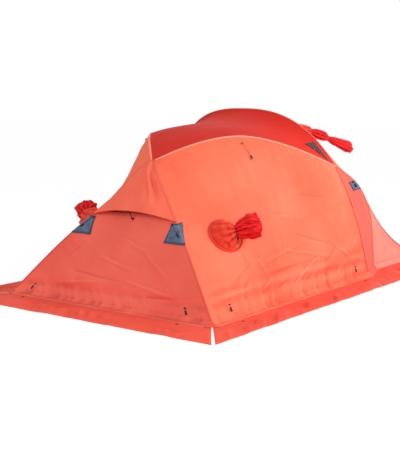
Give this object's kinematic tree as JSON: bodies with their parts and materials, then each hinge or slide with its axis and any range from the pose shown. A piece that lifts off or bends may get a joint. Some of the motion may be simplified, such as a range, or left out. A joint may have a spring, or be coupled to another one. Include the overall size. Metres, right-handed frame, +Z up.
{
  "type": "tent on poles",
  "caption": "Low expedition tent on crossing bent poles and a leaning hoop, with snow skirts, hoods, vent sleeves, a vestibule with a door and an inner tent.",
  "frame": {"origin": "on the ground under the sleeping space, on the underside of the inner floor, midway between the back and hoop feet", "axes": "+X towards the entrance, +Y to the left seen from behind the back looking to the entrance, +Z up"},
  "size_m": [3.686, 2.42, 1.363],
  "materials": {
    "pole_alloy": "satin anodised",
    "hoop_alloy": "satin gold anodised",
    "ferrule_alloy": "satin",
    "eyelet_metal": "matte",
    "fly_side": "coated ripstop cloth, faint sheen",
    "fly_roof": "coated ripstop cloth, faint sheen",
    "fly_shade": "coated ripstop cloth, faint sheen",
    "fly_hood": "coated ripstop cloth, faint sheen",
    "fly_porch": "thin coated cloth, faint sheen",
    "skirt_cloth": "coated ripstop cloth",
    "sleeve_cloth": "thin cloth",
    "patch_cloth": "matte woven cloth",
    "window_film": "dark clear film",
    "zip_tape": "woven tape",
    "cord_braid": "braided cord",
    "tie_webbing": "woven webbing",
    "floor_cloth": "coated heavy cloth",
    "inner_cloth": "thin breathable cloth",
    "inner_door_cloth": "thin breathable cloth",
    "black_plastic": "moulded, matte"
  },
  "bodies": {
    "tent": {"pole_a": "pole_alloy", "pole_b": "pole_alloy", "pole_hoop": "hoop_alloy", "pole_ferrules": "ferrule_alloy", "pole_tips": "black_plastic", "foot_grommets": "eyelet_metal", "crossing_clips": "black_plastic", "pole_ties": "tie_webbing", "side_panel_near": "fly_side", "side_panel_far": "fly_side", "roof_panel": "fly_roof", "back_panel": "fly_shade", "back_hood": "fly_hood", "front_hood": "fly_hood", "band_near": "fly_shade", "band_far": "fly_shade", "vestibule_roof": "fly_porch", "wing_near": "fly_porch", "wing_far": "fly_porch", "vestibule_front": "fly_porch", "door_zips": "zip_tape", "skirts": "skirt_cloth", "peg_eyelets": "eyelet_metal", "corner_patches": "patch_cloth", "roof_windows": "window_film", "prop_hinge": "black_plastic", "vent_sleeve_near": "sleeve_cloth", "vent_sleeve_far": "sleeve_cloth", "vent_sleeve_front": "sleeve_cloth", "cords": "cord_braid", "inner_floor": "floor_cloth", "inner_side_near": "inner_cloth", "inner_side_far": "inner_cloth", "inner_roof": "inner_cloth", "inner_back": "inner_cloth", "inner_front": "inner_cloth", "inner_hangers": "black_plastic"},
    "vestibule_door": {"vestibule_door": "fly_porch"},
    "zip_slider_near": {"zip_slider_near": "black_plastic"},
    "zip_slider_far": {"zip_slider_far": "black_plastic"},
    "inner_door": {"inner_door": "inner_door_cloth"},
    "inner_slider": {"inner_slider": "black_plastic"},
    "hood_prop": {"hood_prop": "black_plastic"},
    "sleeve_lock_near": {"sleeve_lock_near": "black_plastic"},
    "sleeve_lock_far": {"sleeve_lock_far": "black_plastic"},
    "sleeve_lock_front": {"sleeve_lock_front": "black_plastic"},
    "toggle_patch_back_near": {"toggle_patch_back_near": "black_plastic"},
    "toggle_patch_back_far": {"toggle_patch_back_far": "black_plastic"},
    "toggle_patch_front_near": {"toggle_patch_front_near": "black_plastic"},
    "toggle_patch_front_far": {"toggle_patch_front_far": "black_plastic"},
    "toggle_arc_near": {"toggle_arc_near": "black_plastic"},
    "toggle_arc_far": {"toggle_arc_far": "black_plastic"},
    "hem_toggle_near_back": {"hem_toggle_near_back": "black_plastic"},
    "hem_toggle_near_front": {"hem_toggle_near_front": "black_plastic"},
    "hem_toggle_far_back": {"hem_toggle_far_back": "black_plastic"},
    "hem_toggle_far_front": {"hem_toggle_far_front": "black_plastic"},
    "hem_toggle_back_near": {"hem_toggle_back_near": "black_plastic"},
    "hem_toggle_back_far": {"hem_toggle_back_far": "black_plastic"}
  },
  "joints": [
    {"name": "vestibule_door_lift", "type": "hinge", "parent": "tent", "child": "vestibule_door", "pos_m": [1.36902, 0, 0.50918], "axis": [0, -1, 0], "range_deg": [0, 60]},
    {"name": "zip_slider_near_travel", "type": "hinge", "parent": "tent", "child": "zip_slider_near", "pos_m": [2.71134, 0, 1.95221], "axis": [0, 1, 0], "range_deg": [0, 23]},
    {"name": "zip_slider_far_travel", "type": "hinge", "parent": "tent", "child": "zip_slider_far", "pos_m": [2.71134, 0, 1.95221], "axis": [0, 1, 0], "range_deg": [0, 23]},
    {"name": "inner_door_drop", "type": "hinge", "parent": "tent", "child": "inner_door", "pos_m": [1.004, 0, 0.07], "axis": [0, -1, 0], "range_deg": [0, 65]},
    {"name": "inner_slider_slide", "type": "slide", "parent": "tent", "child": "inner_slider", "axis": [-0.3219, 0, 0.9468], "range_m": [0, 0.3]},
    {"name": "hood_prop_fold", "type": "hinge", "parent": "tent", "child": "hood_prop", "pos_m": [-0.80271, 0, 0.60481], "axis": [0, -1, 0], "range_deg": [0, 105]},
    {"name": "sleeve_lock_near_slide", "type": "slide", "parent": "tent", "child": "sleeve_lock_near", "axis": [0, 0, 1], "range_m": [-0.028, 0.007]},
    {"name": "sleeve_lock_far_slide", "type": "slide", "parent": "tent", "child": "sleeve_lock_far", "axis": [0, 0, 1], "range_m": [-0.028, 0.007]},
    {"name": "sleeve_lock_front_slide", "type": "slide", "parent": "tent", "child": "sleeve_lock_front", "axis": [0, 0, 1], "range_m": [-0.028, 0.007]},
    {"name": "toggle_patch_back_near_slide", "type": "slide", "parent": "tent", "child": "toggle_patch_back_near", "axis": [-0.3476, -0.7245, -0.5952], "range_m": [-0.085, 0.003]},
    {"name": "toggle_patch_back_far_slide", "type": "slide", "parent": "tent", "child": "toggle_patch_back_far", "axis": [-0.3476, 0.7245, -0.5952], "range_m": [-0.085, 0.003]},
    {"name": "toggle_patch_front_near_slide", "type": "slide", "parent": "tent", "child": "toggle_patch_front_near", "axis": [0.7906, -0.0377, -0.6112], "range_m": [-0.035, 0.003]},
    {"name": "toggle_patch_front_far_slide", "type": "slide", "parent": "tent", "child": "toggle_patch_front_far", "axis": [0.7906, 0.0377, -0.6112], "range_m": [-0.035, 0.003]},
    {"name": "toggle_arc_near_slide", "type": "slide", "parent": "tent", "child": "toggle_arc_near", "axis": [0.2478, -0.4937, -0.8336], "range_m": [-0.105, 0.003]},
    {"name": "toggle_arc_far_slide", "type": "slide", "parent": "tent", "child": "toggle_arc_far", "axis": [0.2478, 0.4937, -0.8336], "range_m": [-0.105, 0.003]},
    {"name": "hem_toggle_near_back_slide", "type": "slide", "parent": "tent", "child": "hem_toggle_near_back", "axis": [-0.2377, -0.559, -0.7944], "range_m": [-0.015, 0.003]},
    {"name": "hem_toggle_far_back_slide", "type": "slide", "parent": "tent", "child": "hem_toggle_far_back", "axis": [-0.2377, 0.559, -0.7944], "range_m": [-0.015, 0.003]},
    {"name": "hem_toggle_near_front_slide", "type": "slide", "parent": "tent", "child": "hem_toggle_near_front", "axis": [0.2898, -0.0439, -0.9561], "range_m": [-0.015, 0.003]},
    {"name": "hem_toggle_far_front_slide", "type": "slide", "parent": "tent", "child": "hem_toggle_far_front", "axis": [0.2898, 0.0439, -0.9561], "range_m": [-0.015, 0.003]},
    {"name": "hem_toggle_back_near_slide", "type": "slide", "parent": "tent", "child": "hem_toggle_back_near", "axis": [-0.3675, -0.5434, -0.7547], "range_m": [-0.015, 0.003]},
    {"name": "hem_toggle_back_far_slide", "type": "slide", "parent": "tent", "child": "hem_toggle_back_far", "axis": [-0.3675, 0.5434, -0.7547], "range_m": [-0.015, 0.003]}
  ]
}
